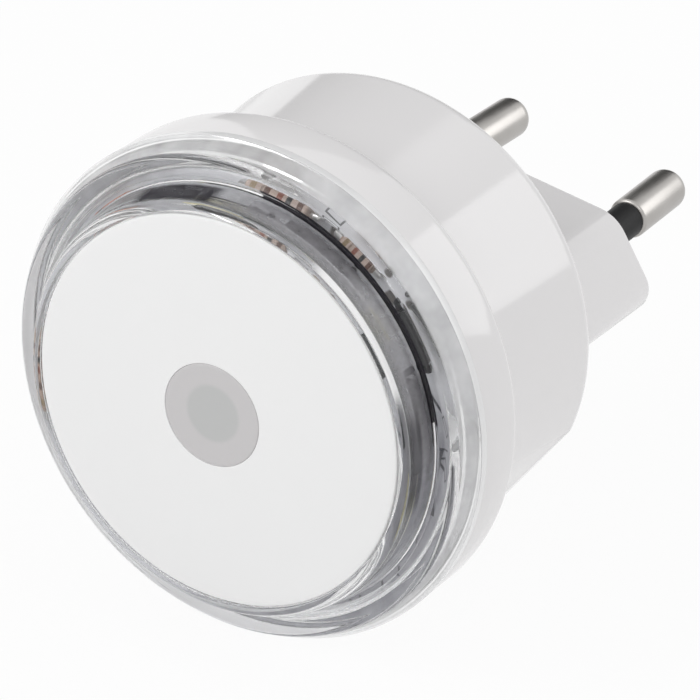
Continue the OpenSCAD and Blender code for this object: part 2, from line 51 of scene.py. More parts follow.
# %% Sizes in millimetres
MM = 0.001
BODY_DEPTH = 47.5
DISC_R = 19.0
DISC_T = 1.2
CROWN = 0.8
WINDOW_R = 5.0
POCKET_R = 19.12
PLATEAU_R = 20.3
FOOT_R = 20.8
GROOVE_R = 21.35
GROOVE_DEPTH = 3.75
RING_DEPTH = 3.0
RING_BACK = 4.3
FLOOR_DEPTH = 2.5
INNER_TOP_R = 18.75
INNER_FOOT_R = 19.8
SKIRT_BORE_R = 22.2
SKIRT_R = 23.2
BORE_R = 4.4
NECK_R = 4.2
SPOT_R = 2.75
SHOULDER_R = 23.6
RIM_R = 24.5
FLANGE_R = 24.4
SEAT_R = 23.3
LEDGE_R = 21.5
LEDGE_DEPTH = 9.6
WAIST_R = 20.9
BARREL_R = 22.0
CAP_DEPTH = 6.3
BOARD_DEPTH = 8.0
FLANGE_END = 10.9
WAIST_DEPTH = 15.4
BARREL_END = 29.6
WALL = 1.8
GAP = 0.03
PIN_PITCH = 18.9
PIN_LEAN = math.radians(1.66)
PIN_R = 2.0
PIN_LEN = 19.0
TAIL_R = 1.1
TAIL_START = -9.62
COLLAR_R = 2.9
COLLAR_START = -4.12
COLLAR_END = -3.12
SHANK_R = 1.3
SLEEVE_LEN = 10.0
SLEEVE_START = -3.0
SEAM = math.radians(42)
GRIP_R = 21.0
GRIP_ANGLE = math.radians(28)
GRIP_LEAN = math.radians(3.5)
print("body", BODY_DEPTH, "mm deep, rim", 2 * RIM_R, "mm across")

# %% [markdown]
# ## Tracing and turning
# Nearly all of the light is turned about one axis, so one way of working does for most of it.
# A plane is added and collapsed to one corner, the corner is extruded from point to point
# along half a section, and the line is spun round the axis. A box or a cylinder cut to shape
# would need many cuts, and its edges would stay sharp.


# %% Small helpers
def only(piece):
    """Selects one piece alone and makes it active."""
    bpy.ops.object.select_all(action="DESELECT")
    piece.select_set(True)
    bpy.context.view_layer.objects.active = piece


def traced(name, points):
    """A line through points in metres, drawn by extruding one corner again and again."""
    bpy.ops.object.select_all(action="DESELECT")
    bpy.ops.mesh.primitive_plane_add(size=0.001, location=points[0])
    piece = bpy.context.object
    piece.name = name
    bpy.ops.object.mode_set(mode="EDIT")
    bpy.ops.mesh.select_all(action="SELECT")
    bpy.ops.mesh.merge(type="CENTER")
    for here, there in zip(points, points[1:]):
        step = Vector(there) - Vector(here)
        bpy.ops.mesh.extrude_region_move(TRANSFORM_OT_translate={"value": step})
    bpy.ops.mesh.select_all(action="SELECT")
    return piece


def tidied(piece, smooth=math.radians(35)):
    """Merges doubles, turns the faces outwards and brings the object to the origin."""
    bpy.ops.mesh.select_all(action="SELECT")
    bpy.ops.mesh.remove_doubles(threshold=1e-6)
    bpy.ops.mesh.normals_make_consistent(inside=False)
    bpy.ops.object.mode_set(mode="OBJECT")
    only(piece)
    bpy.ops.object.transform_apply(location=True, rotation=True, scale=True)
    bpy.ops.object.shade_smooth_by_angle(angle=smooth)
    return piece


def turned(name, section, steps=192):
    """A section of (radius, depth) points in millimetres, spun about the axis of the light."""
    piece = traced(name, [(r * MM, (d - BODY_DEPTH) * MM, 0) for r, d in section])
    bpy.ops.mesh.spin(steps=steps, angle=math.tau, center=(0, 0, 0), axis=(0, 1, 0))
    return tidied(piece)


def arc(cx, cy, r, start, end, n=6):
    """Points of a rounded edge, with angles in degrees."""
    turns = [math.radians(start + (end - start) * i / n) for i in range(n + 1)]
    return [(cx + r * math.cos(t), cy + r * math.sin(t)) for t in turns]


def applied(piece, kind, **settings):
    """Adds a modifier, sets it and applies it."""
    only(piece)
    modifier = piece.modifiers.new(kind.title(), kind)
    for key, value in settings.items():
        setattr(modifier, key, value)
    bpy.ops.object.modifier_apply(modifier=modifier.name)


def count(piece):
    print(piece.name, len(piece.data.polygons), "faces")


# %% [markdown]
# ## Shader maths as Python
# A finish is a small graph of nodes. Writing it as expressions keeps it readable: `Value` wraps one
# socket and its operators add Math nodes, and `Finish.node` makes any other node.


# %% Values and finishes
class Value:
    """One socket that a node puts out. Arithmetic on it adds Math nodes."""

    def __init__(self, finish, socket):
        self.finish = finish
        self.socket = socket

    def math(self, operation, *numbers):
        made = self.finish.node("ShaderNodeMath", {"operation": operation}, dict(enumerate(numbers)))
        return made["Value"]

    def __add__(self, other):
        return self.math("ADD", self, other)

    def __sub__(self, other):
        return self.math("SUBTRACT", self, other)

    def __rsub__(self, other):
        return self.math("SUBTRACT", other, self)

    def __mul__(self, other):
        return self.math("MULTIPLY", self, other)

    def __abs__(self):
        return self.math("ABSOLUTE", self)

    __radd__ = __add__
    __rmul__ = __mul__

    def below(self, edge, soft):
        """1 where the value is under the edge, 0 where it is over it, with a soft change."""
        bounds = {"From Min": edge - soft, "From Max": edge + soft, "To Min": 1.0, "To Max": 0.0}
        sockets = {"Value": self, **bounds}
        settings = {"interpolation_type": "SMOOTHSTEP"}
        return self.finish.node("ShaderNodeMapRange", settings, sockets)["Result"]

    def most(self, other):
        return self.math("MAXIMUM", self, other)

    def modulo(self, other):
        return self.math("MODULO", self, other)

    def root(self):
        return self.math("SQRT", self)


class Made:
    """A node, whose outputs are read by name."""

    def __init__(self, finish, node):
        self.finish = finish
        self.made = node

    def __getitem__(self, name):
        return Value(self.finish, self.made.outputs[name])


class Finish:
    """A material with one shader, whose sockets take numbers, colours or values."""

    def __init__(self, name, **sockets):
        self.material = bpy.data.materials.new(name)
        self.material.use_nodes = True
        self.tree = self.material.node_tree
        self.tree.nodes.clear()
        self.out = self.tree.nodes.new("ShaderNodeOutputMaterial")
        self.shader = self.node("ShaderNodeBsdfPrincipled", {}, sockets)
        self.tree.links.new(self.shader["BSDF"].socket, self.out.inputs["Surface"])

    def node(self, kind, settings, sockets):
        """Makes any node: its settings first, then the numbers or links of its sockets."""
        node = self.tree.nodes.new(kind)
        for key, value in settings.items():
            if key == "stops":
                ramp = node.color_ramp
                while len(ramp.elements) < len(value):
                    ramp.elements.new(0.5)
                for element, (at, colour) in zip(ramp.elements, value):
                    element.position = at
                    element.color = (*colour, 1)
            else:
                setattr(node, key, value)
        for key, value in sockets.items():
            self.feed(node.inputs[key], value)
        return Made(self, node)

    def feed(self, socket, value):
        if isinstance(value, Value):
            self.tree.links.new(value.socket, socket)
        elif socket.type == "RGBA":
            socket.default_value = (*value, 1)
        else:
            socket.default_value = value

    def set(self, **sockets):
        """Feeds the shader's own sockets; an underline stands for a space in a socket's name."""
        for key, value in sockets.items():
            self.feed(self.shader.made.inputs[key.replace("_", " ")], value)

    def point(self, turn=0.0):
        """Object coordinates in millimetres, turned about the light's axis."""
        here = self.node("ShaderNodeTexCoord", {}, {})["Object"]
        sockets = {"Vector": here, "Scale": (1 / MM,) * 3}
        scaled = self.node("ShaderNodeMapping", {"vector_type": "POINT"}, sockets)["Vector"]
        sockets = {"Vector": scaled, "Axis": (0, 1, 0), "Angle": turn}
        return self.node("ShaderNodeVectorRotate", {"rotation_type": "AXIS_ANGLE"}, sockets)["Vector"]

    def parts(self, vector):
        """The three numbers of a vector."""
        made = self.node("ShaderNodeSeparateXYZ", {}, {"Vector": vector})
        return made["X"], made["Y"], made["Z"]

    def polar(self, vector):
        """The radius, the depth behind the face plane and the angle in degrees of a point."""
        x, y, z = self.parts(vector)
        angle = self.node("ShaderNodeMath", {"operation": "ARCTAN2"}, {0: z, 1: x})["Value"]
        return (x * x + z * z).root(), y + BODY_DEPTH, angle * (180 / math.pi)

    def noise(self, vector, scale, detail=2.0):
        """Smooth noise from 0 to 1. The scale is in waves per millimetre."""
        sockets = {"Vector": vector, "Scale": scale, "Detail": detail}
        return self.node("ShaderNodeTexNoise", {}, sockets)["Fac"]

    def mix(self, share, first, second):
        """The first colour where the share is 0, and the second where it is 1."""
        sockets = {0: share, 6: first, 7: second}
        node = self.node("ShaderNodeMix", {"data_type": "RGBA"}, sockets)
        return Value(self, node.made.outputs[2])

    def bump(self, height, depth):
        """A bump whose height of 1 stands this many millimetres proud."""
        sockets = {"Height": height, "Strength": 1.0, "Distance": depth * MM}
        return self.node("ShaderNodeBump", {}, sockets)["Normal"]


def arc_mask(angle, middle, half, soft=1.0):
    """1 where an angle in degrees lies within half of the middle, and 0 outside."""
    apart = abs((angle - middle + 540.0).modulo(360.0) - 180.0)
    return apart.below(half, soft)


def band(value, start, end, soft):
    """1 where a value lies between two bounds."""
    return abs(value - (start + end) / 2).below((end - start) / 2, soft)


def dressed(piece, finish):
    """Gives a piece this finish alone."""
    piece.data.materials.clear()
    piece.data.materials.append(finish.material)


# %% [markdown]
# ## Moulded plastics
# Injection-moulded plastic is never quite flat: it has a faint waviness from shrinking, a fine grain
# from the tool and small changes of gloss from handling. One function makes the plain plastics,
# each with its own colour, gloss and grain.


# %% A plain moulded finish
def moulded(name, colour, rough, grain=0.002, grain_scale=3.0, shade=0.03, **sockets):
    """Plastic with a fine grain, a faint change of shade and small changes of gloss."""
    finish = Finish(name, **{"IOR": 1.5, **sockets})
    point = finish.point()
    blotch = finish.noise(point, 0.12, 3.0)
    fine = finish.noise(point, grain_scale, 3.0)
    darker = tuple(c * (1 - shade) for c in colour)
    finish.set(
        Base_Color=finish.mix(blotch, darker, colour),
        Roughness=rough * 0.85 + fine * (0.3 * rough),
        Normal=finish.bump(fine, grain),
    )
    return finish


housing_white = moulded("housing_white", (0.83, 0.818, 0.822), 0.1, 0.0006, 1.2, 0.02)
print("finishes so far:", housing_white.material.name)

# %% [markdown]
# ## The rear housing
# One white moulding: a flange band that takes the clear cap, a curved flare down to a barrel, and a
# flat-sided boss that carries the two pins. The round part is turned. The boss is an outline
# extruded backwards, joined with a boolean, because a six-sided block can't be turned.


# %% The turned part of the housing
def flare(t):
    return WAIST_R + (FLANGE_R - WAIST_R) * (1 + math.cos(math.pi * t)) / 2


flare_len = WAIST_DEPTH - FLANGE_END
flare_line = [(flare(i / 20), FLANGE_END + flare_len * i / 20) for i in range(1, 21)]
inner_flare = [(min(LEDGE_R, flare(i / 10) - WALL), FLANGE_END + flare_len * i / 10) for i in range(11)]
housing_section = (
    arc(SEAT_R + 0.1, CAP_DEPTH + GAP + 0.1, 0.1, 180, 270, 3)
    + arc(FLANGE_R - 0.1, CAP_DEPTH + GAP + 0.1, 0.1, 270, 360, 3)
    + [(FLANGE_R, FLANGE_END)]
    + flare_line
    + arc(BARREL_R - 2, BARREL_END - 2, 2, 0, 90, 12)
    + [(0, BARREL_END), (0, BARREL_END - WALL), (WAIST_R - WALL, BARREL_END - WALL)]
    + inner_flare[::-1]
    + [(LEDGE_R, LEDGE_DEPTH), (SEAT_R, LEDGE_DEPTH), (SEAT_R, CAP_DEPTH + GAP + 0.1)]
)
housing = turned("housing_shell", housing_section, 384)
count(housing)


# %% The boss and its hollow
def boss_outline(inset):
    """The outline of the boss as (x, z) points: flat top, slanted ends and rounded tips."""
    corner, tip = (10.95, 2.5), (15.15, 0.0)
    across = (tip[0] - corner[0], tip[1] - corner[1])
    slant = math.degrees(math.atan2(across[1], across[0]) + math.acos(1.5 / math.hypot(*across)))
    quarter = arc(*corner, 4 - inset, 90, slant, 10) + arc(*tip, 2.5 - inset, slant, 0, 6)
    lower = [(x, -z) for x, z in quarter[-2::-1]]
    right = quarter + lower
    return right + [(-x, z) for x, z in right[::-1]]


def block(name, outline, start, end):
    """An outline in the xz plane, filled and extruded between two depths."""
    y = (start - BODY_DEPTH) * MM
    loop = outline + outline[:1]
    piece = traced(name, [(x * MM, y, z * MM) for x, z in loop])
    bpy.ops.mesh.remove_doubles(threshold=1e-6)
    bpy.ops.mesh.edge_face_add()
    step = (0, (end - start) * MM, 0)
    bpy.ops.mesh.extrude_region_move(TRANSFORM_OT_translate={"value": step})
    return piece


boss = block("boss", boss_outline(0), BARREL_END - 1, BODY_DEPTH)
bpy.ops.mesh.bevel(offset=0.45 * MM, segments=3, affect="EDGES")
tidied(boss)
hollow = tidied(block("boss_hollow", boss_outline(WALL), BARREL_END - 3, BODY_DEPTH - 3))
for tool, action in ((boss, "UNION"), (hollow, "DIFFERENCE")):
    applied(housing, "BOOLEAN", object=tool, operation=action, solver="EXACT")
    bpy.data.objects.remove(tool)
count(housing)


# %% The bores of the two sleeves
def pin_place(side):
    """Where a pin's axis stands: set out to one side, and leaning in a little."""
    out = Matrix.Translation((side * PIN_PITCH / 2 * MM, 0, 0))
    return out @ Matrix.Rotation(side * PIN_LEAN, 4, "Z")


for side in (-1, 1):
    bpy.ops.object.select_all(action="DESELECT")
    bpy.ops.mesh.primitive_cylinder_add(vertices=64, radius=1.87 * MM, depth=8 * MM)
    drill = bpy.context.object
    drill.matrix_world = pin_place(side) @ Matrix.Rotation(math.pi / 2, 4, "X")
    applied(housing, "BOOLEAN", object=drill, operation="DIFFERENCE", solver="EXACT")
    bpy.data.objects.remove(drill)

# %% [markdown]
# Low on each side the barrel has a shallow flat that leans in towards the waist, where fingers grip.
# A long block is turned to that place and cut away, once on the right and once mirrored.

# %% The two grip flats
barrel_len = BARREL_END - WAIST_DEPTH
cut_wide, cut_long, cut_high = 4.0, barrel_len + 1, 2 * BARREL_R
for side in (1, -1):
    bpy.ops.object.select_all(action="DESELECT")
    bpy.ops.mesh.primitive_cube_add(size=1)
    cutter = bpy.context.object
    turn = Matrix.Rotation(GRIP_ANGLE, 4, "Y")
    place = Matrix.Translation((0, (BARREL_END - BODY_DEPTH) * MM, 0)) @ turn
    corner = Matrix.Translation((GRIP_R * MM, 0, 0)) @ Matrix.Rotation(GRIP_LEAN, 4, "Z")
    centre = Matrix.Translation((cut_wide / 2 * MM, (cut_long / 2 - barrel_len) * MM, 0))
    size = Matrix.Diagonal((cut_wide * MM, cut_long * MM, cut_high * MM, 1))
    cutter.matrix_world = Matrix.Scale(side, 4, (1, 0, 0)) @ place @ corner @ centre @ size
    only(cutter)
    bpy.ops.object.transform_apply(location=True, rotation=True, scale=True)
    bpy.ops.object.mode_set(mode="EDIT")
    tidied(cutter)
    applied(housing, "BOOLEAN", object=cutter, operation="DIFFERENCE", solver="EXACT")
    bpy.data.objects.remove(cutter)
only(housing)
bpy.ops.object.shade_smooth_by_angle(angle=math.radians(30))
dressed(housing, housing_white)
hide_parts("rear_housing")
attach(housing, "root")
count(housing)

# %% [markdown]
# ## The clear cap
# The cap is one clear moulding with a stepped front: a plateau that holds the face disc, a groove at
# its foot, a flat ring and a rounded shoulder. Clear plastic shows both its outside and its inside,
# so the whole section is turned as one closed line with real wall thickness and rounded edges.

# %% The section of the cap
cap_front = (
    [(BORE_R, DISC_T + GAP)]
    + arc(POCKET_R - 0.15, DISC_T + GAP - 0.15, 0.15, 90, 0, 3)
    + arc(POCKET_R + 0.15, 0.15, 0.15, 180, 270, 4)
    + arc(PLATEAU_R - 0.9, 0.9, 0.9, -90, -10, 14)
    + arc(FOOT_R + 0.12, GROOVE_DEPTH - 0.12, 0.12, 180, 90, 4)
    + arc(GROOVE_R - 0.08, GROOVE_DEPTH - 0.08, 0.08, 90, 0, 3)
    + arc(GROOVE_R + 0.1, RING_DEPTH + 0.1, 0.1, 180, 270, 3)
    + arc(SHOULDER_R - 0.8, RING_DEPTH + 0.8, 0.8, -90, -25, 12)
    + arc(RIM_R - 0.25, CAP_DEPTH - 0.95, 0.25, -30, 0, 4)
    + arc(RIM_R - 0.12, CAP_DEPTH - 0.12, 0.12, 0, 90, 3)
)
cap_back = (
    arc(SKIRT_R + 0.1, CAP_DEPTH + 0.1, 0.1, 270, 180, 3)
    + arc(SKIRT_R - 0.1, BOARD_DEPTH - GAP - 0.1, 0.1, 0, 90, 3)
    + arc(SKIRT_BORE_R + 0.1, BOARD_DEPTH - GAP - 0.1, 0.1, 90, 180, 3)
    + arc(SKIRT_BORE_R - 0.5, RING_BACK + 0.5, 0.5, 0, -90, 6)
    + arc(INNER_FOOT_R, RING_BACK - 0.3, 0.3, 90, 170, 5)
    + arc(INNER_TOP_R, FLOOR_DEPTH + 0.3, 0.3, -10, -90, 5)
    + [(BORE_R, FLOOR_DEPTH), (BORE_R, DISC_T + GAP)]
)
cap = turned("clear_cap", cap_front + cap_back, 384)
count(cap)

# %% [markdown]
# Clear plastic bends and mirrors light, and lets light through to what it covers. Cycles sends shadow
# rays straight, so for those alone the cap is plainly transparent: else the board would lie in the dark.
#
# The reflections and shade that a studio leaves in such a ring are painted in as masks of radius, depth and
# angle: a painted black line of reflection at the plateau's foot, painted dark and grey reflections and
# shade on its wall, a painted highlight on its lip, a faint painted highlight on the rim and a painted pale
# sheen on the shoulder. Each mask mixes another shader over the clear one.

# %% The clear finish
clear = Finish(
    "clear_plastic",
    **{"Base Color": (0.96, 0.963, 0.965), "Roughness": 0.02, "IOR": 1.49, "Transmission Weight": 1.0},
)
point = clear.point()
radius, depth, angle = clear.polar(point)
wavy = clear.noise(point, 0.35, 2.0)
mottled = clear.noise(point, 1.1, 3.0)


on_wall = band(radius, POCKET_R + 0.5, FOOT_R + 0.05, 0.03)
# Painted reflection: a black line along the plateau's foot and the groove's outer wall.
foot = on_wall * band(depth, 3.28, 3.9, 0.03)
groove = band(radius, GROOVE_R - 0.05, GROOVE_R + 0.24, 0.03) * band(depth, 2.9, 3.9, 0.03)
painted_dark_line = foot.most(groove) * arc_mask(angle, 56, 37, 0.5) * 0.97
# Painted dark reflections and painted grey shade on the plateau's wall, mottled by noise.
painted_low_dark = band(depth, 2.45, 3.9, 0.35) * arc_mask(angle, 40, 48, 5.0) * (mottled * 0.5)
painted_top_dark = band(depth, 0.5, 2.9, 0.25) * arc_mask(angle, 115, 12, 2.5) * (mottled * 0.5 + 0.65)
painted_side_dark = band(depth, 0.4, 1.9, 0.2) * arc_mask(angle, 10, 13, 4.0) * (mottled * 0.4 + 0.4)
painted_dark_reflections = painted_dark_line.most(on_wall * painted_low_dark.most(painted_top_dark).most(painted_side_dark))
painted_wall_grey = on_wall * band(depth, 0.75, 2.95, 0.3) * arc_mask(angle, 52, 46, 6.0) * (mottled * 0.55 + 0.3)
# Painted highlights on the rim and the plateau's lip, and a painted pale sheen on the shoulder slope; white
# gathers all three.
rim_highlight = band(depth, CAP_DEPTH - 0.95, CAP_DEPTH + 0.1, 0.05) * band(radius, RIM_R - 0.2, RIM_R + 0.2, 0.03)
lip_highlight = band(radius, PLATEAU_R - 0.6, PLATEAU_R, 0.03) * band(depth, 0.04, 0.4, 0.05)
lip_highlight = lip_highlight * arc_mask(angle, 49, 20, 4.0)
slope_sheen = band(radius, SHOULDER_R - 0.15, RIM_R + 0.05, 0.1) * band(depth, 3.3, CAP_DEPTH - 0.9, 0.1)
white = (rim_highlight * 0.85).most(lip_highlight * 0.9).most(slope_sheen * (wavy * 0.5 + 0.15))


def film(colour, rough, gloss=0.5):
    """A plain shader to lay over the clear one, for the painted reflections, shade and highlights."""
    sockets = {"Base Color": colour, "Roughness": rough, "Specular IOR Level": gloss}
    return clear.node("ShaderNodeBsdfPrincipled", {}, sockets)["BSDF"]


through = clear.node("ShaderNodeBsdfTransparent", {}, {"Color": (0.94, 0.945, 0.95)})
ray = clear.node("ShaderNodeLightPath", {}, {})
# Layers of painted grey shade, painted dark reflections and painted highlights, then plain transparency for
# shadow rays.
layers = (
    (painted_wall_grey, film((0.29, 0.284, 0.302), 0.3)),
    (painted_dark_reflections, film((0.022, 0.02, 0.026), 0.5, 0.15)),
    (white, film((0.93, 0.93, 0.935), 0.2)),
    (ray["Is Shadow Ray"], through["BSDF"]),
)
layer = clear.shader["BSDF"]
for share, other in layers:
    layer = clear.node("ShaderNodeMixShader", {}, {0: share, 1: layer, 2: other})["Shader"]
clear.tree.links.new(layer.socket, clear.out.inputs["Surface"])
clear.set(Normal=clear.bump(wavy, 0.006))
dressed(cap, clear)
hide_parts("lens_cover")
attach(cap, "root")

# %% [markdown]
# ## The face disc and its window
# The disc is a thin satin plate with a slightly raised middle. The window in its centre is frosted, and
# the sensor's shade behind its thin skin is painted on it as a darker patch. Thin white plastic lets
# lamplight into the housing, so neither of them casts a shadow here, and the parts under the ring stay
# light.


# %% The disc
def crown(r):
    return -CROWN * (1 - (r / DISC_R) ** 2)


hole_r = WINDOW_R + 0.02
rim_line = arc(DISC_R - 0.2, 0.2, 0.2, 0, -85, 4)
face_radii = [DISC_R - 0.6 - i * (DISC_R - hole_r - 0.7) / 14 for i in range(15)]
face_line = [(r, crown(r)) for r in face_radii]
hole_line = arc(hole_r + 0.06, crown(hole_r) + 0.06, 0.06, 265, 180, 3)
disc_section = [(hole_r, DISC_T), (DISC_R - 0.1, DISC_T)] + rim_line + face_line + hole_line
disc = turned("face_plate", disc_section + disc_section[:1], 192)
face_white = moulded("face_white", (0.86, 0.86, 0.86), 0.42, 0.0015, 6.0, 0.01)
dressed(disc, face_white)
disc.visible_shadow = False
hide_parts("face_disc")
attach(disc, "root")
count(disc)

# %% The frosted window
window_line = [(r, crown(r) + 0.02) for r in (4.5, 4.0, 3.0, 2.0, 1.0, 0.0)]
window_section = (
    [(0, 0.1), (SPOT_R, 0.1), (SPOT_R, FLOOR_DEPTH), (NECK_R, FLOOR_DEPTH)]
    + [(NECK_R, DISC_T), (WINDOW_R - 0.05, DISC_T)]
    + arc(WINDOW_R - 0.11, crown(WINDOW_R) + 0.1, 0.1, 0, -85, 4)
    + window_line
)
window = turned("frosted_window", window_section, 128)
frosted = Finish("frosted_window", **{"IOR": 1.49, "Transmission Weight": 0.0})
point = frosted.point()
x, y, z = frosted.parts(point)
# Painted shade: the sensor behind the skin, as a darker patch set a little off centre, with a faint
# speckle.
off_x, off_z = x - 0.1, z - 0.25
sensor_shade = (off_x * off_x + off_z * off_z).root().below(SPOT_R, 0.28)
speck = frosted.noise(point, 2.5, 4.0)
speck_and_sensor_shade = frosted.mix(sensor_shade * 0.8 + speck * 0.12, (0.575, 0.56, 0.565), (0.49, 0.497, 0.494))
frosted.set(Base_Color=speck_and_sensor_shade, Roughness=0.45 + speck * 0.1, Normal=frosted.bump(speck, 0.004))
dressed(window, frosted)
window.visible_shadow = False
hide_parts("sensor_window")
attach(window, "root")
count(window)

# %% [markdown]
# ## The pins
# Each pin is a sheet of brass rolled into a tube and plated, so it has a seam along its length and a
# closed, rounded tip. The turned blank is cut by two planes beside the seam and one through it, and
# the line between them is pushed in.


# %% One rolled pin
def rolled_pin(name, side):
    """A turned pin, drawn along the depth axis, with its seam pressed in and its lean applied."""
    section = (
        [(0, TAIL_START), (TAIL_R, TAIL_START), (TAIL_R, COLLAR_START), (COLLAR_R, COLLAR_START)]
        + [(COLLAR_R, COLLAR_END), (SHANK_R, COLLAR_END), (SHANK_R, SLEEVE_LEN)]
        + arc(PIN_R - 0.35, SLEEVE_LEN + 0.35, 0.35, -90, 0, 6)
        + arc(PIN_R - 1.3, PIN_LEN - 1.3, 1.3, 0, 90, 12)
        + [(0, PIN_LEN)]
    )
    piece = turned(name, [(r, d + BODY_DEPTH) for r, d in section], 72)
    out = Vector((math.cos(SEAM), 0, math.sin(SEAM)))
    beside = Vector((-math.sin(SEAM), 0, math.cos(SEAM)))
    bpy.ops.object.mode_set(mode="EDIT")
    for offset in (-0.1, 0.0, 0.1):
        bpy.ops.mesh.select_all(action="SELECT")
        bpy.ops.mesh.bisect(plane_co=beside * offset * MM, plane_no=beside)
    bpy.ops.mesh.select_all(action="DESELECT")
    bpy.ops.object.mode_set(mode="OBJECT")
    for corner in piece.data.vertices:
        place = corner.co / MM
        on_seam = abs(place.dot(beside)) < 0.001 and place.dot(out) > 1.5
        corner.select = on_seam and SLEEVE_LEN + 0.3 < place.y < PIN_LEN - 0.7
    bpy.ops.object.mode_set(mode="EDIT")
    bpy.ops.transform.translate(value=out * -0.3 * MM)
    bpy.ops.mesh.select_all(action="SELECT")
    bpy.ops.object.mode_set(mode="OBJECT")
    piece.matrix_world = pin_place(side)
    only(piece)
    bpy.ops.object.transform_apply(location=True, rotation=True, scale=True)
    bpy.ops.object.shade_smooth_by_angle(angle=math.radians(32))
    return piece


def sleeve(name, side):
    """The black insulating sleeve, with softly rounded ends."""
    section = (
        [(1.35, SLEEVE_START), (1.62, SLEEVE_START)]
        + [(1.75, SLEEVE_START + 0.13), (1.75, SLEEVE_LEN - 0.2)]
        + arc(1.6, SLEEVE_LEN - 0.15, 0.15, 0, 90, 3)
        + [(1.35, SLEEVE_LEN), (1.35, SLEEVE_START)]
    )
    piece = turned(name, [(r, d + BODY_DEPTH) for r, d in section], 64)
    piece.matrix_world = pin_place(side)
    only(piece)
    bpy.ops.object.transform_apply(location=True, rotation=True, scale=True)
    return piece


# %% [markdown]
# The plating is bright, with fine drawing lines along the pin and a few dull streaks. The lines come
# from noise that is stretched along the depth axis.

# %% Nickel plate, and both pins
nickel = Finish("pin_nickel", **{"Metallic": 1.0})
point = nickel.point()
x, y, z = nickel.parts(point)
along = nickel.node("ShaderNodeCombineXYZ", {}, {"X": x, "Y": y * 0.06, "Z": z})["Vector"]
lines = nickel.noise(along, 5.0, 3.0)
dull = nickel.noise(point, 0.4, 3.0)
nickel.set(
    Base_Color=nickel.mix(dull, (0.38, 0.366, 0.35), (0.48, 0.465, 0.448)),
    Roughness=0.24 + dull * 0.1 + lines * 0.06,
    Normal=nickel.bump(lines, 0.004),
)
low_gloss = {"Specular IOR Level": 0.2}
sleeve_black = moulded("sleeve_black", (0.012, 0.012, 0.013), 0.5, 0.003, 4.0, 0.2, **low_gloss)
for side, word in ((-1, "left"), (1, "right")):
    pin = rolled_pin("rolled_pin_" + word, side)
    dressed(pin, nickel)
    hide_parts("pin_" + word)
    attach(pin, "root")
    count(pin)
    cover = sleeve("pin_sleeve_" + word, side)
    dressed(cover, sleeve_black)
    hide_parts("sleeve_" + word)
    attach(cover, "root")
    count(cover)

# %% [markdown]
# ## Parts on the board
# The parts that show through the ring keep their CAD solids, whose shapes are right, and get finishes
# that follow each body: lacquer with painted bands, a cathode stripe, and bare tinned legs.


# %% Finishes that run along an axial part
def axial(name, body, bands, half, turn, rough=0.35):
    """Lacquer with bands of (place along the body, half width, colour), and tinned legs."""
    finish = Finish(name)
    turned_point = finish.point(turn)
    x, y, z = finish.parts(turned_point)
    grain = finish.noise(turned_point, 2.0, 3.0)
    colour = finish.mix(grain, tuple(c * 0.9 for c in body), body)
    for at, width, paint in bands:
        colour = finish.mix(abs(z - at).below(width, 0.04), colour, paint)
    leg = 1 - abs(z).below(half + 0.02, 0.02)
    finish.set(
        Base_Color=finish.mix(leg, colour, (0.72, 0.71, 0.70)),
        Metallic=leg,
        Roughness=rough - leg * (rough - 0.25) + grain * 0.08,
        Normal=finish.bump(grain, 0.01),
    )
    return finish


BROWN, BLACK, RED = (0.10, 0.045, 0.03), (0.02, 0.018, 0.018), (0.22, 0.07, 0.045)
GOLD = (0.25, 0.18, 0.10)
SERIES, BLEED = 91.5, 65.8
big_bands = [(-2.6, 0.3, BROWN), (-1.3, 0.3, BLACK), (-0.3, 0.3, RED)]
big_bands += [(1.1, 0.3, BROWN), (2.5, 0.3, GOLD)]
small_bands = [(-1.5, 0.2, BROWN), (-0.6, 0.2, BLACK), (0.3, 0.2, RED), (1.4, 0.2, GOLD)]
TAN, PINK = (0.42, 0.31, 0.25), (0.45, 0.35, 0.30)
ORANGE = (0.5, 0.14, 0.05)
parts = {
    "series_resistor": axial("resistor_tan", PINK, big_bands, 3.4, math.radians(SERIES)),
    "bleed_resistor": axial("resistor_small", PINK, small_bands, 2.1, math.radians(BLEED)),
    "bias_resistor": axial("resistor_bias", TAN, big_bands, 3.4, math.radians(200)),
    "zener_diode": axial("diode_glass", ORANGE, [(1.2, 0.3, BLACK)], 1.9, math.radians(148)),
}
for name, finish in parts.items():
    dressed(nodes[name], finish)
print("banded parts:", sorted(parts))

# %% [markdown]
# The board is white, with painted shade low on the right, where less light gets under the ring, and darker
# patches high on the left. Tinned joints and printed marks lie on it: part outlines, a ring and short bars,
# all without lettering.
# Each mark is a distance from a centre, tested against a width.

# %% The board and its marks
board_white = moulded("board_white", (0.76, 0.76, 0.79), 0.3, 0.002, 1.5, 0.04)
point = board_white.point()
across, _, upward = board_white.parts(point)
radius, depth, angle = board_white.polar(point)
cloud = board_white.noise(point, 0.5, 3.0)


def away(cx, cz):
    """The distance from a centre on the board."""
    dx, dz = across - cx, upward - cz
    return (dx * dx + dz * dz).root()


def joint(cx, cz, size):
    """A round joint of solder."""
    return away(cx, cz).below(size, 0.15)


def circle(cx, cz, size):
    """A printed circle."""
    return abs(away(cx, cz) - size).below(0.12, 0.05)


def outline(cx, cz, long, wide, tilt, line=0.1):
    """A printed box, turned by an angle in degrees. A box with no width is a bar."""
    c, s = math.cos(math.radians(tilt)), math.sin(math.radians(tilt))
    along = abs((across - cx) * c + (upward - cz) * s) - long / 2
    beside = abs((upward - cz) * c - (across - cx) * s) - wide / 2
    return abs(along.most(beside)).below(line, 0.04)


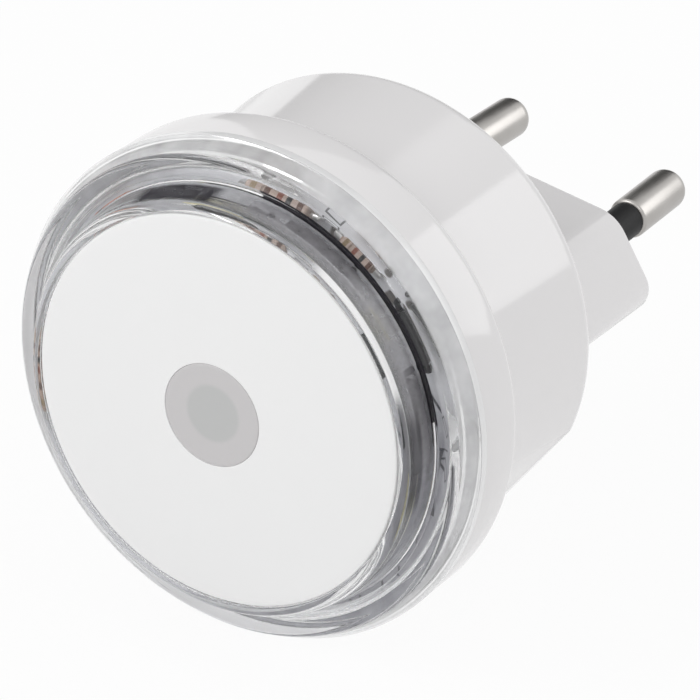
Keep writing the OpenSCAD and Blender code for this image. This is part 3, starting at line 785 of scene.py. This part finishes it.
# Painted shade: the board's colour is darker low on the right and in patches high on the left.
low_right, high_left = arc_mask(angle, -38, 58, 12), arc_mask(angle, 142, 18, 10)
shade = (low_right * (cloud * 0.5 + 0.65)).most(high_left * (cloud * 0.7))
joints = joint(5.1, 18.74, 0.75)
for cx, cz, size in ((9.23, 17.11, 0.6), (11.11, 17.26, 0.45), (11.61, 14.67, 0.7), (13.93, 15.24, 0.45)):
    joints = joints.most(joint(cx, cz, size))
boxes = [
    (4.7, 20.3, 1.9, 0.9, -15),
    (20.0, 4.8, 2.0, 0.8, -45),
    (20.56, 0.27, 2.4, 0.8, -56),
    (17.75, 7.03, 3.3, 0.0, -53, 0.07),
    (19.55, -1.5, 7.0, 0.6, -87),
    (20.0, 2.27, 2.0, 0.0, 15),
    (15.86, -14.74, 1.3, 0.0, -50, 0.15),
    (17.39, -12.53, 1.0, 0.0, -50, 0.15),
    (18.12, -8.53, 0.8, 0.1, -65, 0.12),
]
marks = circle(13.21, -17.42, 0.65)
for box in boxes:
    marks = marks.most(outline(*box))
colour = board_white.mix(shade, (0.76, 0.76, 0.79), (0.25, 0.247, 0.275))
colour = board_white.mix(joints * 0.9, colour, (0.10, 0.085, 0.075))
board_white.set(Base_Color=board_white.mix(marks * 0.9, colour, (0.03, 0.03, 0.038)))
dressed(nodes["circuit_board"], board_white)
print("marks on the board:", len(boxes) + 1)

# %% The other parts inside
plain = {
    "sensor_shroud": moulded("shroud_white", (0.75, 0.75, 0.75), 0.5),
    "light_sensor": moulded("sensor_ceramic", (0.5, 0.38, 0.3), 0.3),
    "leds": moulded("led_white", (0.8, 0.76, 0.5), 0.35),
    "rectifier_diodes": moulded("epoxy_black", (0.02, 0.02, 0.022), 0.35, 0.006, 3.0, 0.2),
    "switching_transistor": moulded("epoxy_matt", (0.02, 0.02, 0.022), 0.5, 0.006, 3.0, 0.2),
    "film_capacitor": moulded("film_yellow", (0.6, 0.36, 0.06), 0.4),
    "storage_capacitor": moulded("can_sleeve", (0.02, 0.03, 0.09), 0.25),
    "fusible_resistor": moulded("resistor_blue", (0.12, 0.2, 0.36), 0.45),
    "pin_clamp": moulded("clamp_plastic", (0.7, 0.7, 0.7), 0.45),
    "clamp_screw": moulded("screw_steel", (0.5, 0.5, 0.5), 0.3, 0.002, 3.0, 0.1, Metallic=1.0),
    "wire_left": moulded("wire_blue", (0.03, 0.1, 0.4), 0.4),
    "wire_right": moulded("wire_brown", (0.16, 0.06, 0.03), 0.4),
}
for name, finish in plain.items():
    dressed(nodes[name], finish)
print("plain parts:", len(plain))

# %% [markdown]
# ## Floor, light and camera
# The floor is pale, and to the camera and to mirrors it is nearly white, but it keeps the shadow. A large
# soft lamp stands in front on the left. A smaller one behind on the right draws the bright patch on the
# barrel, and a narrow one in front on the right adds a glint to the ring. A dark card that only gloss
# sees gives the pins their dark side.

# %% The floor
bpy.ops.object.select_all(action="DESELECT")
bpy.ops.mesh.primitive_plane_add(size=6, location=(0, 0, -(RIM_R + 0.1) * MM))
floor = bpy.context.object
floor.name = "floor"
pale = Finish("floor_pale", **{"Base Color": (0.86, 0.86, 0.86), "Roughness": 0.9})
ray = pale.node("ShaderNodeLightPath", {}, {})
seen = ray["Is Camera Ray"].most(ray["Is Glossy Ray"]).most(ray["Is Transmission Ray"])
glow = pale.node("ShaderNodeEmission", {}, {"Color": (1, 1, 1), "Strength": 1.0})
sockets = {0: seen * 0.93, 1: pale.shader["BSDF"], 2: glow["Emission"]}
mixed = pale.node("ShaderNodeMixShader", {}, sockets)
pale.tree.links.new(mixed["Shader"].socket, pale.out.inputs["Surface"])
dressed(floor, pale)

# %% The world
world = bpy.data.worlds.new("studio")
bpy.context.scene.world = world
world.use_nodes = True
tree = world.node_tree
sky = tree.nodes["Background"]
ray = tree.nodes.new("ShaderNodeLightPath")
most = ray.outputs["Is Camera Ray"]
for kind in ("Is Glossy Ray", "Is Transmission Ray"):
    larger = tree.nodes.new("ShaderNodeMath")
    larger.operation = "MAXIMUM"
    tree.links.new(most, larger.inputs[0])
    tree.links.new(ray.outputs[kind], larger.inputs[1])
    most = larger.outputs[0]
level = tree.nodes.new("ShaderNodeMapRange")
level.inputs["To Min"].default_value = 0.62
level.inputs["To Max"].default_value = 1.0
tree.links.new(most, level.inputs["Value"])
tree.links.new(level.outputs["Result"], sky.inputs["Strength"])
sky.inputs["Color"].default_value = (1, 1, 1, 1)


# %% The lamps and the dark card
def aimed(thing, place, target=(0, -0.02, 0)):
    """Puts a lamp or card at a place and turns its face to the target."""
    thing.location = place
    thing.rotation_euler = (Vector(target) - Vector(place)).to_track_quat("-Z", "Y").to_euler()


def softbox(name, place, width, height, power, roll=0.0):
    light = bpy.data.lights.new(name, "AREA")
    light.shape = "RECTANGLE"
    light.size, light.size_y = width, height
    light.energy = power
    lamp = bpy.data.objects.new(name, light)
    bpy.context.scene.collection.objects.link(lamp)
    aimed(lamp, place)
    lamp.rotation_euler.rotate(Matrix.Rotation(roll, 3, Vector(place)))
    return lamp


softbox("key_lamp", (-0.75, -1.0, 0.75), 0.8, 0.8, 7.4)
softbox("rear_lamp", (0.55, 0.66, 0.50), 0.5, 0.6, 1.8, math.radians(-41))
softbox("top_lamp", (0.36, -0.62, 0.70), 0.14, 0.3, 0.55, math.radians(30))
bpy.ops.object.select_all(action="DESELECT")
bpy.ops.mesh.primitive_plane_add(size=1)
card = bpy.context.object
card.name = "dark_card"
card.scale = (0.55, 0.95, 1)
aimed(card, (-0.40, 0.80, 0.2))
dressed(card, Finish("card_dark", **{"Base Color": (0.02, 0.02, 0.02), "Roughness": 0.9}))
card.visible_camera = False
card.visible_diffuse = False
card.visible_shadow = False
card.visible_transmission = False

# %% The camera
camera = bpy.data.objects.new("camera", bpy.data.cameras.new("camera"))
bpy.context.scene.collection.objects.link(camera)
right = Vector((0.83022826, 0.53500209, 0.15650464))
up = Vector((-0.40042109, 0.37707435, 0.83515142))
ahead = Vector((-0.38779375, 0.75603419, -0.5272839))
turn = Matrix((right, up, -ahead)).transposed().to_4x4()
camera.matrix_world = Matrix.Translation((0.23264, -0.47757, 0.31237)) @ turn
FOCAL_PIXELS, PICTURE_PIXELS, SENSOR = 6500, 700, 36
camera.data.sensor_width = SENSOR
camera.data.lens = FOCAL_PIXELS * SENSOR / PICTURE_PIXELS
camera.data.clip_start = 0.01
bpy.context.scene.camera = camera
bpy.context.scene.view_settings.view_transform = "Standard"
print("camera looks along", [round(c, 3) for c in ahead])
